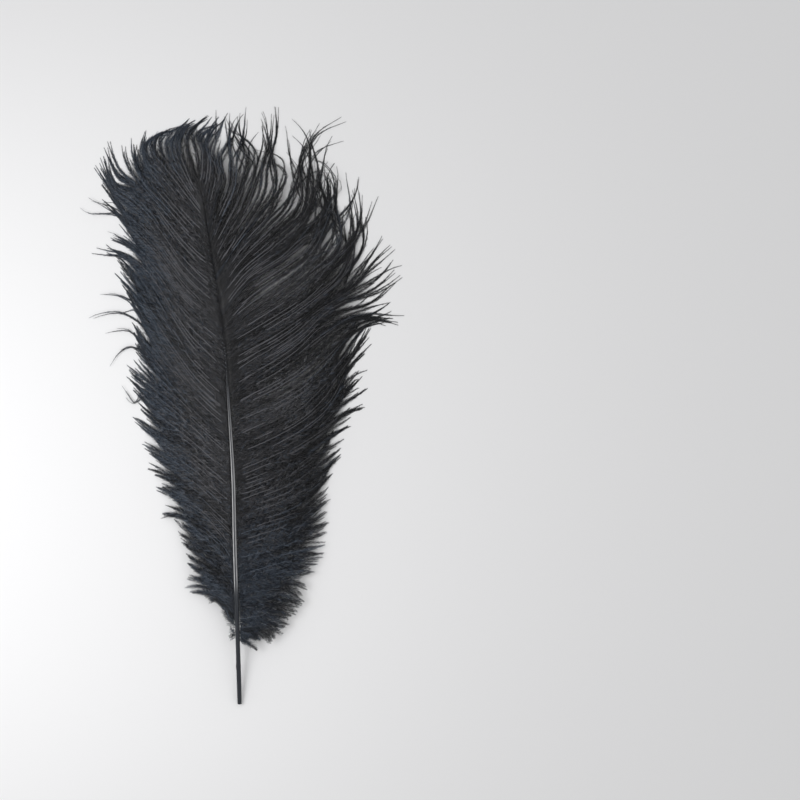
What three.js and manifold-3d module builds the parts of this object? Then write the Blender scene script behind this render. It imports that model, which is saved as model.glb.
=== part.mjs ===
// A black-dyed ostrich wing plume, lying face up on a table.
//
// One grown piece: a bare quill with a cut end runs into an arched, grooved shaft, and the loose barbs on both
// sides of the shaft hang together in locks that sweep up the feather and spread to the table at their tips.
// Millimetres, +Z up. +Y runs from the cut end to the tip, and the table is the plane z = 0. The origin is on the
// table under the middle of the plume.
import * as THREE from 'three';
import Module from 'manifold-3d';

const wasm = await Module();
wasm.setup();

// Driving dimensions. Every x below is measured from the line of the quill, which stands QUILL_X right of the
// origin, and every y from the middle of the length.
const QUILL_X = 3.4;

// The shaft from its cut end to its last trace: x, y, height of its middle, half width.
const SHAFT = [
  [0, -190, 1.5, 1.35],
  [-0.3, -174, 5, 1.5],
  [-0.9, -148, 10.5, 1.4],
  [-1.6, -122, 14, 1.45],
  [-2.6, -84, 17, 1.45],
  [-3.4, -46, 18.5, 1.4],
  [-6.5, 6, 18.5, 1.1],
  [-9.2, 44, 17.5, 0.9],
  [-12.4, 70, 16, 0.8],
  [-16.8, 96, 14, 0.7],
  [-20.9, 121, 12, 0.6],
  [-25.6, 147, 10, 0.4],
];
const SHAFT_FLATTENING = 0.92;
const SHAFT_STATIONS = 24;
const SHAFT_SIDES = 10;
const GROOVE_DEPTH = 0.34;
const GROOVE_FROM_Y = -125;
const GROOVE_TO_Y = 20;
const HEIGHT_HALVINGS = 30;

// The leading barbs, going round the plume from the lowest on the left, over the tip, to the lowest on the
// right: the y where each leaves the shaft, then the points [x, y] it passes, the last at its tip.
const BARBS = [
  [-143, [-6.7, -134.8], [-9.6, -127.1], [-14.1, -122]],
  [-135, [-7.1, -123.9], [-14.8, -118.1], [-25.4, -116.2]],
  [-126, [-10.9, -114.3], [-21.2, -107.9], [-31.5, -101.4]],
  [-110, [-12.2, -98.2], [-23.1, -89.9], [-37.2, -82.2]],
  [-97, [-14.1, -81.5], [-27.6, -70.6], [-45.9, -61]],
  [-74, [-15.4, -63.6], [-27, -52.6], [-37.9, -45.6], [-54.6, -35.3]],
  [-58, [-17.3, -46.9], [-30.2, -36.6], [-43, -27.6], [-62.9, -13.5]],
  [-36, [-16.1, -26.3], [-28.9, -14.8], [-41.1, -4.5], [-51.4, 3.9], [-59.7, 11.6], [-67.4, 18.6]],
  [-17, [-16.1, -9], [-28.2, 1.9], [-40.4, 15.4], [-52, 28.9], [-61.6, 41.1], [-65.5, 47.5]],
  [6, [-18, 14.8], [-29.5, 26.3], [-39.8, 40.4], [-50.7, 55.9], [-59.7, 70], [-68.1, 84.1], [-77.7, 94.4]],
  [25, [-17.3, 32.7], [-28.2, 42.4], [-39.2, 57.1], [-50.1, 73.8], [-61.6, 90.5], [-73.8, 100.2], [-88.6, 102.7]],
  [46, [-19.9, 53.9], [-32.1, 64.2], [-42.4, 75.8], [-52, 89.2], [-61, 100.8], [-70, 110.4], [-76.4, 116.2]],
  [65, [-23.8, 75.1], [-35.3, 86.7], [-46.9, 102.1], [-57.1, 116.2], [-68.7, 127.8], [-79.6, 135.5], [-91.2, 148.3]],
  [81, [-27, 90.5], [-37.9, 102.1], [-48.8, 117.5], [-59.1, 131.6], [-70, 140], [-81.5, 141.9], [-93.7, 154.7]],
  [96, [-28.9, 106.6], [-40.4, 118.8], [-52, 132.3], [-62.9, 143.2], [-71.9, 152.2], [-77.7, 161.1], [-80.9, 167.6]],
  [110, [-30.2, 120.1], [-41.1, 132.3], [-52, 145.1], [-61.6, 154.7], [-66.1, 163.1], [-68.1, 174.6]],
  [121, [-31.5, 132.9], [-41.7, 145.7], [-50.7, 156.6], [-58.4, 166.3], [-59.1, 174], [-50.7, 183]],
  [128, [-29.5, 138.7], [-36.6, 150.2], [-42.4, 161.1], [-44.9, 170.8], [-42.4, 178.5], [-37.2, 186.8]],
  [136, [-29.5, 145.1], [-33.4, 155.4], [-36.6, 165.6], [-37.2, 174.6], [-34, 181.7], [-27, 189.4]],
  [144, [-25, 156.6], [-25.7, 167.6], [-28.9, 177.9], [-25, 189]],
  [136, [-21.2, 148.3], [-20.5, 161.1], [-22.5, 172.7], [-19.5, 187]],
  [123, [-17.3, 140.6], [-15.4, 154.7], [-19.9, 167.6], [-9.5, 188.5]],
  [112, [-13.5, 129], [-7.7, 145], [-8.3, 159.9], [-4, 188.5]],
  [103, [-9.6, 120], [-1.3, 137.4], [2.6, 153.4], [5.5, 188]],
  [94, [-6.4, 113], [3.9, 129.7], [10.9, 147], [13.5, 184.5]],
  [86, [-2.6, 105.3], [10.9, 124.5], [19.9, 140.6], [23, 185]],
  [76, [0.6, 97.6], [18.6, 116.2], [32.7, 132.3], [32, 172]],
  [69, [2.6, 89.2], [23.1, 106.6], [41.1, 124.5], [46, 184]],
  [60, [5.8, 80.9], [29.5, 96.9], [50.7, 116.2], [58, 152]],
  [49, [5.8, 61.6], [19.9, 71.3], [34, 81.5], [46.9, 92.4], [57.1, 104.6], [66.8, 121.3], [77.7, 145.7]],
  [38, [7.1, 48.1], [23.1, 57.8], [39.2, 68.1], [53.3, 79.6], [65.5, 93.1], [76.4, 109.8], [89.2, 129.7]],
  [25, [7.1, 34.7], [23.1, 43.7], [39.2, 54.6], [53.3, 66.1], [66.1, 78.3], [79, 90.5], [97.6, 102.7]],
  [9, [7.1, 17.3], [23.1, 26.3], [39.2, 37.9], [53.3, 50.7], [68.1, 59.1], [98.2, 64.8]],
  [-10, [8.3, -2.6], [24.4, 5.1], [39.2, 14.1], [52, 25], [64.8, 38.5], [76.4, 48.1], [89.9, 55.9]],
  [-29, [10.3, -22.5], [26.3, -14.8], [41.1, -5.8], [54.6, 7.1], [66.8, 23.1], [82.8, 41.7]],
  [-40, [10.9, -33.4], [27.6, -25.7], [42.4, -17.3], [55.9, -7.1], [68.7, 4.5], [82.8, 11.6]],
  [-50, [12.2, -43.7], [28.9, -36.6], [43, -28.2], [55.9, -18.6], [68.1, -9]],
  [-66, [10.3, -61], [26.3, -55.2], [40.4, -48.1], [52, -39.8], [62.3, -30.2]],
  [-83, [10.9, -78.3], [27, -73.2], [41.1, -67.4], [57.1, -57.1]],
  [-97, [12.2, -92.4], [27.6, -88], [41.7, -84.7], [53.3, -82.2]],
  [-111, [12.2, -106.6], [27.6, -102.7], [39.2, -101.4], [48.1, -100.8]],
  [-123, [11.6, -117.5], [26.3, -116.2], [41, -119.5]],
  [-132, [10.3, -128.4], [23.1, -128.4], [34.5, -131]],
  [-140, [8.3, -138], [17.3, -138], [27, -143.5]],
  [-145, [6.5, -144.5], [12.2, -145], [20.5, -150]],
];
// The barbs hang together in locks. Each lock is thickest along its middle, shares a valley with each neighbour
// as far as they hang together, and runs on alone to its tip.
const LOCKS = 60;
const STATIONS = [0, 0.13, 0.28, 0.43, 0.57, 0.69, 0.8, 0.91, 1];
const CREST_HEIGHT = 1.1;
const CREST_FALL = 0.6;
const HALF_THICKNESS = 0.4;
const TIP_NARROWING = 0.93;
const LOCK_WIDEST = 11;
const SPACED_AT = 0.55;
const BLUNT_PARTS_AT = 0.8;
const SLENDER_PARTS_AT = 0.6;
const SLENDER_FROM_Y = 60;
const CLOSING_LEAD = 0.15;
const DIRECTION_STEP = 0.02;
const ROOT_SINK = 0.7;
const DROOP_POWER = 1.7;
const ROUNDING = 1e-6;

// Single curled barbs that stand out past the locks: the leading barb that each grows beside, how far along it
// the stray parts from it, then its points [x, y, height].
const STRAYS = [
  [11.6, 0.95, [-88.6, 125.8, 1.6], [-95.7, 125.8, 1.5], [-100.8, 127.8, 1.6], [-104.6, 131.6, 2]],
  [11.75, 0.95, [-91.2, 132.9, 1.6], [-95.7, 134.8, 1.8], [-99.5, 138, 2.5]],
  [11, 0.93, [-79, 111.7, 1.6], [-82.8, 113.6, 1.6], [-87.3, 114.9, 2]],
  [8.52, 0.93, [-76.4, 72.5, 1.6], [-84.7, 73.8, 1.5], [-92.4, 73.8, 2]],
  [8.3, 0.93, [-76.4, 62.3, 1.6], [-85.4, 62.3, 1.5], [-93.7, 60.3, 1.5], [-99.5, 57.1, 2]],
  [8, 0.93, [-71.3, 50.1, 1.6], [-80.2, 50.1, 1.5], [-88.6, 48.1, 2]],
  [7.8, 0.93, [-70, 39.8, 1.8], [-77.7, 36, 1.6], [-84.7, 25.7, 2]],
  [6.85, 0.9, [-67.4, 3.9, 1.6], [-71.9, 9.6, 1.5], [-77, 16.7, 2]],
  [28, 0.7, [60, 136, 3], [63, 146, 3.5], [55, 158, 3], [46, 163, 2.5], [50.5, 183, 2]],
  [28.6, 0.55, [48, 143, 3.5], [37, 157, 2.5], [28, 168, 2]],
  [29, 0.6, [62, 124, 4], [50, 131, 4], [40, 138, 3], [36, 155, 2]],
  [29.4, 0.55, [52, 122, 5], [58, 134, 4], [66, 142, 3], [61, 153, 2]],
];
const STRAY_HALF_WIDTH = 0.8;
const STRAY_ROOTED = 0.06;
const STRAY_NARROWING = 0.75;
const STRAY_STEPS_PER_POINT = 2;

// The base of the vane is carried clear of the table, and its tips come down to it further up.
const LIFTED_BELOW_Y = -143;
const RESTS_ABOVE_Y = -30;
const LIFTED_TIP = 7.5;
const RESTING_TIP = -4;

const HALF = new THREE.Vector3(0, 0, HALF_THICKNESS);

const dyedKeratin = new THREE.MeshStandardMaterial({ color: 0x2b2c2f, roughness: 0.72, metalness: 0 });

function shaftCurve() {
  return new THREE.CatmullRomCurve3(SHAFT.map(([x, y, z]) => new THREE.Vector3(x + QUILL_X, y, z)));
}

const shaft = shaftCurve();

// The share of the way along the shaft's curve where it reaches a given y.
function shaftShareAt(y) {
  let low = 0;
  let high = 1;
  for (let step = 0; step < HEIGHT_HALVINGS; step += 1) {
    const middle = (low + high) / 2;
    if (shaft.getPoint(middle).y < y) low = middle;
    else high = middle;
  }
  return low;
}

function shaftHalfWidth(y) {
  const next = SHAFT.findIndex((row) => row[1] >= y);
  if (next <= 0) return SHAFT[next < 0 ? SHAFT.length - 1 : 0][3];
  const [, y0, , w0] = SHAFT[next - 1];
  const [, y1, , w1] = SHAFT[next];
  return THREE.MathUtils.mapLinear(y, y0, y1, w0, w1);
}

// Skins a row of equal rings of points and closes both ends with fans.
function closedSkin(rings) {
  const count = rings[0].length;
  const last = rings.length - 1;
  const points = rings.flat();
  const middleOf = (ring) => ring.reduce((sum, p) => sum.add(p), new THREE.Vector3()).divideScalar(count);
  points.push(middleOf(rings[0]), middleOf(rings[last]));
  const startHub = points.length - 2;
  const endHub = points.length - 1;
  const faces = [];
  for (let i = 0; i < count; i += 1) {
    const j = (i + 1) % count;
    for (let r = 0; r < last; r += 1) {
      const a = r * count;
      const b = a + count;
      faces.push(a + i, a + j, b + j, a + i, b + j, b + i);
    }
    faces.push(startHub, j, i);
    faces.push(endHub, last * count + i, last * count + j);
  }
  return new wasm.Manifold(new wasm.Mesh({
    numProp: 3,
    vertProperties: new Float32Array(points.flatMap((p) => p.toArray())),
    triVerts: new Uint32Array(faces),
  }));
}

// A right-handed pair of directions across a path: one level, one upward.
function acrossPath(tangent, tilt = 0) {
  const side = new THREE.Vector3(0, 0, 1).cross(tangent).normalize();
  const up = tangent.clone().cross(side).normalize();
  return {
    side: side.clone().applyAxisAngle(tangent, tilt),
    up: up.applyAxisAngle(tangent, tilt),
  };
}

function ringAt(centre, { side, up }, outline) {
  return outline.map(([s, u]) => centre.clone().addScaledVector(side, s).addScaledVector(up, u));
}

// The shaft's section is nearly round, and its upper face has a groove along the middle of the feather.
function shaftOutline(y) {
  const half = shaftHalfWidth(y);
  const grooved = y > GROOVE_FROM_Y && y < GROOVE_TO_Y;
  const outline = [];
  for (let i = 0; i < SHAFT_SIDES; i += 1) {
    const angle = Math.PI / 2 - (i / SHAFT_SIDES) * 2 * Math.PI;
    const depth = i === 0 && grooved ? 1 - GROOVE_DEPTH : 1;
    outline.push([half * Math.cos(angle) * depth, half * SHAFT_FLATTENING * Math.sin(angle) * depth]);
  }
  return outline.reverse();
}

function makeShaft() {
  const rings = [];
  for (let i = 0; i <= SHAFT_STATIONS; i += 1) {
    const share = i / SHAFT_STATIONS;
    const centre = shaft.getPoint(share);
    rings.push(ringAt(centre, acrossPath(shaft.getTangent(share)), shaftOutline(centre.y)));
  }
  return closedSkin(rings);
}

// One leading barb as a curve over the table, from just past the middle of the shaft to its tip.
function barbCurve([rootY, ...way]) {
  const flat = way.map(([x, y]) => new THREE.Vector3(x + QUILL_X, y, 0));
  const root = shaft.getPoint(shaftShareAt(rootY)).setZ(0);
  const sink = root.clone().sub(flat[0]).setLength(ROOT_SINK);
  return new THREE.CatmullRomCurve3([root.add(sink), ...flat]);
}

const barbs = BARBS.map((row) => ({ rootY: row[0], curve: barbCurve(row) }));

function rootYAt(place) {
  const first = Math.min(Math.floor(place), barbs.length - 2);
  return THREE.MathUtils.lerp(barbs[first].rootY, barbs[first + 1].rootY, place - first);
}

// A point of the barb at any place between two leading barbs, drooping from the shaft to its tip.
function barbPoint(place, share) {
  const first = Math.min(Math.floor(place), barbs.length - 2);
  const point = barbs[first].curve.getPointAt(share);
  point.lerp(barbs[first + 1].curve.getPointAt(share), place - first);
  const rootY = rootYAt(place);
  const rootZ = shaft.getPoint(shaftShareAt(rootY)).z;
  const tipZ = THREE.MathUtils.mapLinear(rootY, LIFTED_BELOW_Y, RESTS_ABOVE_Y, LIFTED_TIP, RESTING_TIP);
  const lowest = THREE.MathUtils.clamp(tipZ, RESTING_TIP, LIFTED_TIP);
  point.z = Math.max(THREE.MathUtils.lerp(rootZ, lowest, share ** DROOP_POWER), HALF_THICKNESS);
  return point;
}

function barbDirection(place, share) {
  const ahead = barbPoint(place, Math.min(share + DIRECTION_STEP, 1));
  return ahead.sub(barbPoint(place, Math.max(share - DIRECTION_STEP, 0))).normalize();
}

// Places for the locks that are evenly spaced round the plume, counted in leading barbs.
function evenPlaces(count) {
  const reach = [0];
  for (let i = 1; i < barbs.length; i += 1) {
    reach.push(reach[i - 1] + barbPoint(i, SPACED_AT).distanceTo(barbPoint(i - 1, SPACED_AT)));
  }
  const places = [];
  for (let k = 0; k < count; k += 1) {
    const wanted = (reach[reach.length - 1] * k) / (count - 1);
    const next = Math.max(reach.findIndex((length) => length >= wanted - ROUNDING), 1);
    places.push(THREE.MathUtils.mapLinear(wanted, reach[next - 1], reach[next], next - 1, next));
  }
  return places;
}

// How far along it a lock hangs together with its neighbours: nearly to the tip on the low, downy part of the
// vane, and little more than half way further up.
function partsAt(place) {
  const slender = THREE.MathUtils.smoothstep(rootYAt(place), LIFTED_BELOW_Y, SLENDER_FROM_Y);
  return THREE.MathUtils.lerp(BLUNT_PARTS_AT, SLENDER_PARTS_AT, slender);
}

// The valley between two locks, one point for each station.
function valleyBetween(placeA, placeB) {
  return STATIONS.map((share) => barbPoint(placeA, share).lerp(barbPoint(placeB, share), 0.5));
}

// One edge of a lock: in the valley while the locks hang together, then closing in on the middle of the lock.
function lockEdge(place, share, valley, towards) {
  if (share <= partsAt(place)) return valley;
  const middle = barbPoint(place, share);
  const full = Math.min(valley.distanceTo(middle), LOCK_WIDEST);
  const half = full * (1 - TIP_NARROWING * THREE.MathUtils.smoothstep(share, partsAt(place) - CLOSING_LEAD, 1));
  return middle.addScaledVector(acrossPath(barbDirection(place, share)).side, half * towards);
}

function makeLock(place, index, places) {
  const before = places[index - 1] ?? place;
  const after = places[index + 1] ?? place;
  const leftValley = valleyBetween(before, place);
  const rightValley = valleyBetween(place, after);
  const rings = STATIONS.map((share, station) => {
    const left = lockEdge(place, share, leftValley[station], 1);
    const right = lockEdge(place, share, rightValley[station], -1);
    const crest = barbPoint(place, share);
    crest.z += CREST_HEIGHT * (1 - CREST_FALL * share);
    return [
      left.clone().add(HALF), crest, right.clone().add(HALF), right.clone().sub(HALF), left.clone().sub(HALF),
    ];
  });
  return closedSkin(rings);
}

function makeStray([place, share, ...way]) {
  const points = [share - STRAY_ROOTED, share].map((held) => barbPoint(place, held));
  points.forEach((point) => point.setZ(Math.max(point.z, STRAY_HALF_WIDTH)));
  way.forEach(([x, y, z]) => points.push(new THREE.Vector3(x + QUILL_X, y, z)));
  const curve = new THREE.CatmullRomCurve3(points);
  const rings = [];
  const steps = points.length * STRAY_STEPS_PER_POINT;
  for (let i = 0; i <= steps; i += 1) {
    const along = i / steps;
    const half = STRAY_HALF_WIDTH * (1 - STRAY_NARROWING * along);
    const outline = [[half, -half / 2], [0, half], [-half, -half / 2]];
    rings.push(ringAt(curve.getPointAt(along), acrossPath(curve.getTangentAt(along)), outline));
  }
  return closedSkin(rings);
}

const locks = evenPlaces(LOCKS).map(makeLock);
const strays = STRAYS.map(makeStray);

// Locks that meet edge to edge can close in a thin void: only the outer surface is kept.
function outerShell(solid) {
  return solid.decompose().reduce((best, shell) => (shell.volume() > best.volume() ? shell : best));
}

const whole = outerShell([makeShaft(), ...locks, ...strays].reduce((sum, solid) => sum.add(solid)));
const { vertProperties, triVerts } = whole.getMesh();
const geometry = new THREE.BufferGeometry();
geometry.setAttribute('position', new THREE.BufferAttribute(vertProperties, 3));
geometry.setIndex(new THREE.BufferAttribute(triVerts, 1));

const feather = new THREE.Mesh(geometry, dyedKeratin);
feather.name = 'feather';

const group = new THREE.Group();
group.add(feather);

export default group;
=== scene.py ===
"""A black-dyed ostrich wing plume, lying face up on a pale sheet.

The plume is one grown piece. A bare quill with a cut end runs into an arched, grooved shaft. Loose barbs
leave the shaft on both sides, sweep up the feather in locks and come down to the sheet at their tips. Every
barb carries two rows of fine barbules. Here each barb is a thin tube of mesh, and each barbule a strip.

Tables are in millimetres in the frame of the solid: +X right, +Y from the cut end to the tip, +Z up.
"""

import logging
import math
from dataclasses import dataclass, field
from enum import Enum

import bpy
import numpy as np
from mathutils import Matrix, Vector


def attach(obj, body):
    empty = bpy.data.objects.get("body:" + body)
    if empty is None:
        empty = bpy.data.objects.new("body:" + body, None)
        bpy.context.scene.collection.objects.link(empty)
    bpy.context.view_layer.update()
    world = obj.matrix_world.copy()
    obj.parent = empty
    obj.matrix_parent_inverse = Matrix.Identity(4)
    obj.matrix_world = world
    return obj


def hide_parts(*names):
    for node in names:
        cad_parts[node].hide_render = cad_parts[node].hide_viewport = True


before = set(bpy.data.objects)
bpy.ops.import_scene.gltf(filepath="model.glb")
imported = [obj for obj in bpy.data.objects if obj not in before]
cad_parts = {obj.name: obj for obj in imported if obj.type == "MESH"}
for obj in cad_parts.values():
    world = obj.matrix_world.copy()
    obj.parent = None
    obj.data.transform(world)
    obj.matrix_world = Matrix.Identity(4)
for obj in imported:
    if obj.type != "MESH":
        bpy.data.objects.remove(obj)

LOG = logging.getLogger("plume")
MM = 0.001
NODE = "feather"
BODY = "root"
UPWARD = (0.0, 0.0, 1.0)
Array = np.ndarray

# The steps of a smooth curve between two points, and the least length that a direction is made from.
CURVE_STEPS = 33
LEAST_LENGTH = 1e-9

# The photograph's frame: it is square, and x = 0, y = 0 of the tables stand at this pixel of it.
PHOTO_SIDE_PX = 800
MM_PER_PX = 0.642
TABLE_ZERO_PX = (239, 409)

# The quill's line stands this far right of the origin, and every x of the tables is measured from it.
QUILL_X = 3.4

# The shaft from its cut end to its last trace: x, y, height of its middle, half width.
SHAFT = (
    (0, -190, 1.5, 1.35),
    (-0.3, -174, 5, 1.5),
    (-0.9, -148, 10.5, 1.4),
    (-1.6, -122, 14, 1.45),
    (-2.6, -84, 17, 1.45),
    (-3.4, -46, 18.5, 1.4),
    (-6.5, 6, 18.5, 1.1),
    (-9.2, 44, 17.5, 0.9),
    (-12.4, 70, 16, 0.8),
    (-16.8, 96, 14, 0.7),
    (-20.9, 121, 12, 0.6),
    (-25.6, 147, 10, 0.4),
)

# The leading barbs, going round the plume from the lowest on the left, over the tip, to the lowest on the
# right: the y where each leaves the shaft, then the x and y of the points it passes, the last at its tip.
BARBS = (
    (-143, -6.7, -134.8, -9.6, -127.1, -14.1, -122),
    (-135, -7.1, -123.9, -14.8, -118.1, -25.4, -116.2),
    (-126, -10.9, -114.3, -21.2, -107.9, -31.5, -101.4),
    (-110, -12.2, -98.2, -23.1, -89.9, -37.2, -82.2),
    (-97, -14.1, -81.5, -27.6, -70.6, -45.9, -61),
    (-74, -15.4, -63.6, -27, -52.6, -37.9, -45.6, -54.6, -35.3),
    (-58, -17.3, -46.9, -30.2, -36.6, -43, -27.6, -62.9, -13.5),
    (-36, -16.1, -26.3, -28.9, -14.8, -41.1, -4.5, -51.4, 3.9, -59.7, 11.6, -67.4, 18.6),
    (-17, -16.1, -9, -28.2, 1.9, -40.4, 15.4, -52, 28.9, -61.6, 41.1, -65.5, 47.5),
    (6, -18, 14.8, -29.5, 26.3, -39.8, 40.4, -50.7, 55.9, -59.7, 70, -68.1, 84.1, -77.7, 94.4),
    (25, -17.3, 32.7, -28.2, 42.4, -39.2, 57.1, -50.1, 73.8, -61.6, 90.5, -73.8, 100.2, -88.6, 102.7),
    (46, -19.9, 53.9, -32.1, 64.2, -42.4, 75.8, -52, 89.2, -61, 100.8, -70, 110.4, -76.4, 116.2),
    (65, -23.8, 75.1, -35.3, 86.7, -46.9, 102.1, -57.1, 116.2, -68.7, 127.8, -79.6, 135.5, -91.2, 148.3),
    (81, -27, 90.5, -37.9, 102.1, -48.8, 117.5, -59.1, 131.6, -70, 140, -81.5, 141.9, -93.7, 154.7),
    (96, -28.9, 106.6, -40.4, 118.8, -52, 132.3, -62.9, 143.2, -71.9, 152.2, -77.7, 161.1, -80.9, 167.6),
    (110, -30.2, 120.1, -41.1, 132.3, -52, 145.1, -61.6, 154.7, -66.1, 163.1, -68.1, 174.6),
    (121, -31.5, 132.9, -41.7, 145.7, -50.7, 156.6, -58.4, 166.3, -59.1, 174, -50.7, 183),
    (128, -29.5, 138.7, -36.6, 150.2, -42.4, 161.1, -44.9, 170.8, -42.4, 178.5, -37.2, 186.8),
    (136, -29.5, 145.1, -33.4, 155.4, -36.6, 165.6, -37.2, 174.6, -34, 181.7, -27, 189.4),
    (144, -25, 156.6, -25.7, 167.6, -28.9, 177.9, -25, 189),
    (136, -21.2, 148.3, -20.5, 161.1, -22.5, 172.7, -19.5, 187),
    (123, -17.3, 140.6, -15.4, 154.7, -19.9, 167.6, -9.5, 188.5),
    (112, -13.5, 129, -7.7, 145, -8.3, 159.9, -4, 188.5),
    (103, -9.6, 120, -1.3, 137.4, 2.6, 153.4, 5.5, 188),
    (94, -6.4, 113, 3.9, 129.7, 10.9, 147, 13.5, 184.5),
    (86, -2.6, 105.3, 10.9, 124.5, 19.9, 140.6, 23, 185),
    (76, 0.6, 97.6, 18.6, 116.2, 32.7, 132.3, 32, 172),
    (69, 2.6, 89.2, 23.1, 106.6, 41.1, 124.5, 46, 184),
    (60, 5.8, 80.9, 29.5, 96.9, 50.7, 116.2, 58, 152),
    (49, 5.8, 61.6, 19.9, 71.3, 34, 81.5, 46.9, 92.4, 57.1, 104.6, 66.8, 121.3, 77.7, 145.7),
    (38, 7.1, 48.1, 23.1, 57.8, 39.2, 68.1, 53.3, 79.6, 65.5, 93.1, 76.4, 109.8, 89.2, 129.7),
    (25, 7.1, 34.7, 23.1, 43.7, 39.2, 54.6, 53.3, 66.1, 66.1, 78.3, 79, 90.5, 97.6, 102.7),
    (9, 7.1, 17.3, 23.1, 26.3, 39.2, 37.9, 53.3, 50.7, 68.1, 59.1, 98.2, 64.8),
    (-10, 8.3, -2.6, 24.4, 5.1, 39.2, 14.1, 52, 25, 64.8, 38.5, 76.4, 48.1, 89.9, 55.9),
    (-29, 10.3, -22.5, 26.3, -14.8, 41.1, -5.8, 54.6, 7.1, 66.8, 23.1, 82.8, 41.7),
    (-40, 10.9, -33.4, 27.6, -25.7, 42.4, -17.3, 55.9, -7.1, 68.7, 4.5, 82.8, 11.6),
    (-50, 12.2, -43.7, 28.9, -36.6, 43, -28.2, 55.9, -18.6, 68.1, -9),
    (-66, 10.3, -61, 26.3, -55.2, 40.4, -48.1, 52, -39.8, 62.3, -30.2),
    (-83, 10.9, -78.3, 27, -73.2, 41.1, -67.4, 57.1, -57.1),
    (-97, 12.2, -92.4, 27.6, -88, 41.7, -84.7, 53.3, -82.2),
    (-111, 12.2, -106.6, 27.6, -102.7, 39.2, -101.4, 48.1, -100.8),
    (-123, 11.6, -117.5, 26.3, -116.2, 41, -119.5),
    (-132, 10.3, -128.4, 23.1, -128.4, 34.5, -131),
    (-140, 8.3, -138, 17.3, -138, 27, -143.5),
    (-145, 6.5, -144.5, 12.2, -145, 20.5, -150),
)

# Single curled barbs that stand out past the vane: the leading barb that each grows beside, how far along
# that the stray parts from it, then its points with their heights.
STRAYS = (
    (11.35, 0.95, (-88.6, 125.8, 1.6), (-95.7, 125.8, 1.5), (-100.8, 127.8, 1.6), (-104.6, 131.6, 2)),
    (11.5, 0.95, (-91.2, 132.9, 1.6), (-95.7, 134.8, 1.8), (-99.5, 138, 2.5)),
    (10.8, 0.88, (-79, 111.7, 1.6), (-82.8, 113.6, 1.6), (-87.3, 114.9, 2)),
    (8.52, 0.93, (-76.4, 72.5, 1.6), (-84.7, 73.8, 1.5), (-92.4, 73.8, 2)),
    (8.3, 0.93, (-76.4, 62.3, 1.6), (-85.4, 62.3, 1.5), (-93.7, 60.3, 1.5), (-99.5, 57.1, 2)),
    (8, 0.93, (-71.3, 50.1, 1.6), (-80.2, 50.1, 1.5), (-88.6, 48.1, 2)),
    (7.8, 0.93, (-70, 39.8, 1.8), (-77.7, 36, 1.6), (-84.7, 25.7, 2)),
    (6.85, 0.9, (-67.4, 3.9, 1.6), (-71.9, 9.6, 1.5), (-77, 16.7, 2)),
    (28, 0.7, (60, 136, 3), (63, 146, 3.5), (55, 158, 3), (46, 163, 2.5), (50.5, 183, 2)),
    (28.6, 0.55, (48, 143, 3.5), (37, 157, 2.5), (28, 168, 2)),
    (29, 0.6, (62, 124, 4), (50, 131, 4), (40, 138, 3), (36, 155, 2)),
    (29.4, 0.55, (52, 122, 5), (58, 134, 4), (66, 142, 3), (61, 153, 2)),
)

# Each stray is a few barbs side by side: how many, how far off the others start in leading barbs, how many
# points they share with the vane, how far apart they then run and which way, how much shorter each next
# one is and the least and most of that drawn, the length of their barbules as a share, and how much paler
# they are made.
STRAY_BARBS = 3
STRAY_START_DRAW = 0.07
STRAY_HELD_POINTS = 7
STRAY_APART = 0.7
STRAY_APART_WAY = (1, 1, 0.3)
STRAY_SHORTER = 0.05
STRAY_SHORTER_DRAW = (0.5, 1)
STRAY_FINE = 0.42
STRAY_SHADE = -0.1

# The under layer: how far it reaches along the barbs, as places and the shares there, the least and most of
# a barb's length, how deep it lies under the others, the shares over which it sinks to that, the length of
# its barbules as a share, and how much paler it is, negative: painted shade, darker under the others.
UNDER_REACH = (
    (0, 6, 8, 10, 11.4, 13, 18, 22, 26, 30, 34, 44),
    (0.85, 0.88, 0.96, 0.92, 0.96, 0.82, 0.9, 0.72, 0.68, 0.82, 0.86, 0.85),
)
UNDER_LENGTHS = (0.88, 1.08)
UNDER_DEPTH = 2.4
UNDER_SINKS = (0.03, 0.3)
UNDER_FINE = 1.5
UNDER_SHADE = -0.4

# The base of the vane is carried clear of the sheet, and its tips come down to it further up.
LIFTED_BELOW_Y = -143
RESTS_ABOVE_Y = -30
LIFTED_TIP = 7.5
RESTING_TIP = -4
DROOP_POWER = 1.7

# The dye, and the painted light and shade laid into it, change over the plume: between these places from
# left to right, between these y from its low end up, and between these shares of a barb from inside to
# outside.
RIGHT_FROM_PLACE = (21, 25)
COOL_BELOW_Y = (-120, -50)
LOW_DOWN_Y = (-90, -30)
HIGH_UP_Y = (-10, 40)
RIBS_SHINE_Y = (-120, -40)
OUTSIDE = (0.3, 0.85)
RIGHT_OUTSIDE = (0.3, 0.75)
AT_TIP = (0.75, 0.95)

# How likely the dye is blue-black: anywhere, more outside, more outside on the left, and more low down.
BARBULE_COOL = (0.12, 0.35, 0.4, 0.75)
RIB_COOL = (0.1, 0.3, 0.5, 0.8)


class Part(Enum):
    """The stretches of the vane that are pieces of their own, from one leading barb to another."""

    LOW_LEFT = (-1.0, 7.2)
    MIDDLE_LEFT = (7.2, 11.4)
    HIGH_LEFT = (11.4, 15.2)
    CROWN = (15.2, 27.2)
    HIGH_RIGHT = (27.2, 30.6)
    MIDDLE_RIGHT = (30.6, 33.8)
    LOW_RIGHT = (33.8, 45.0)


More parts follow.
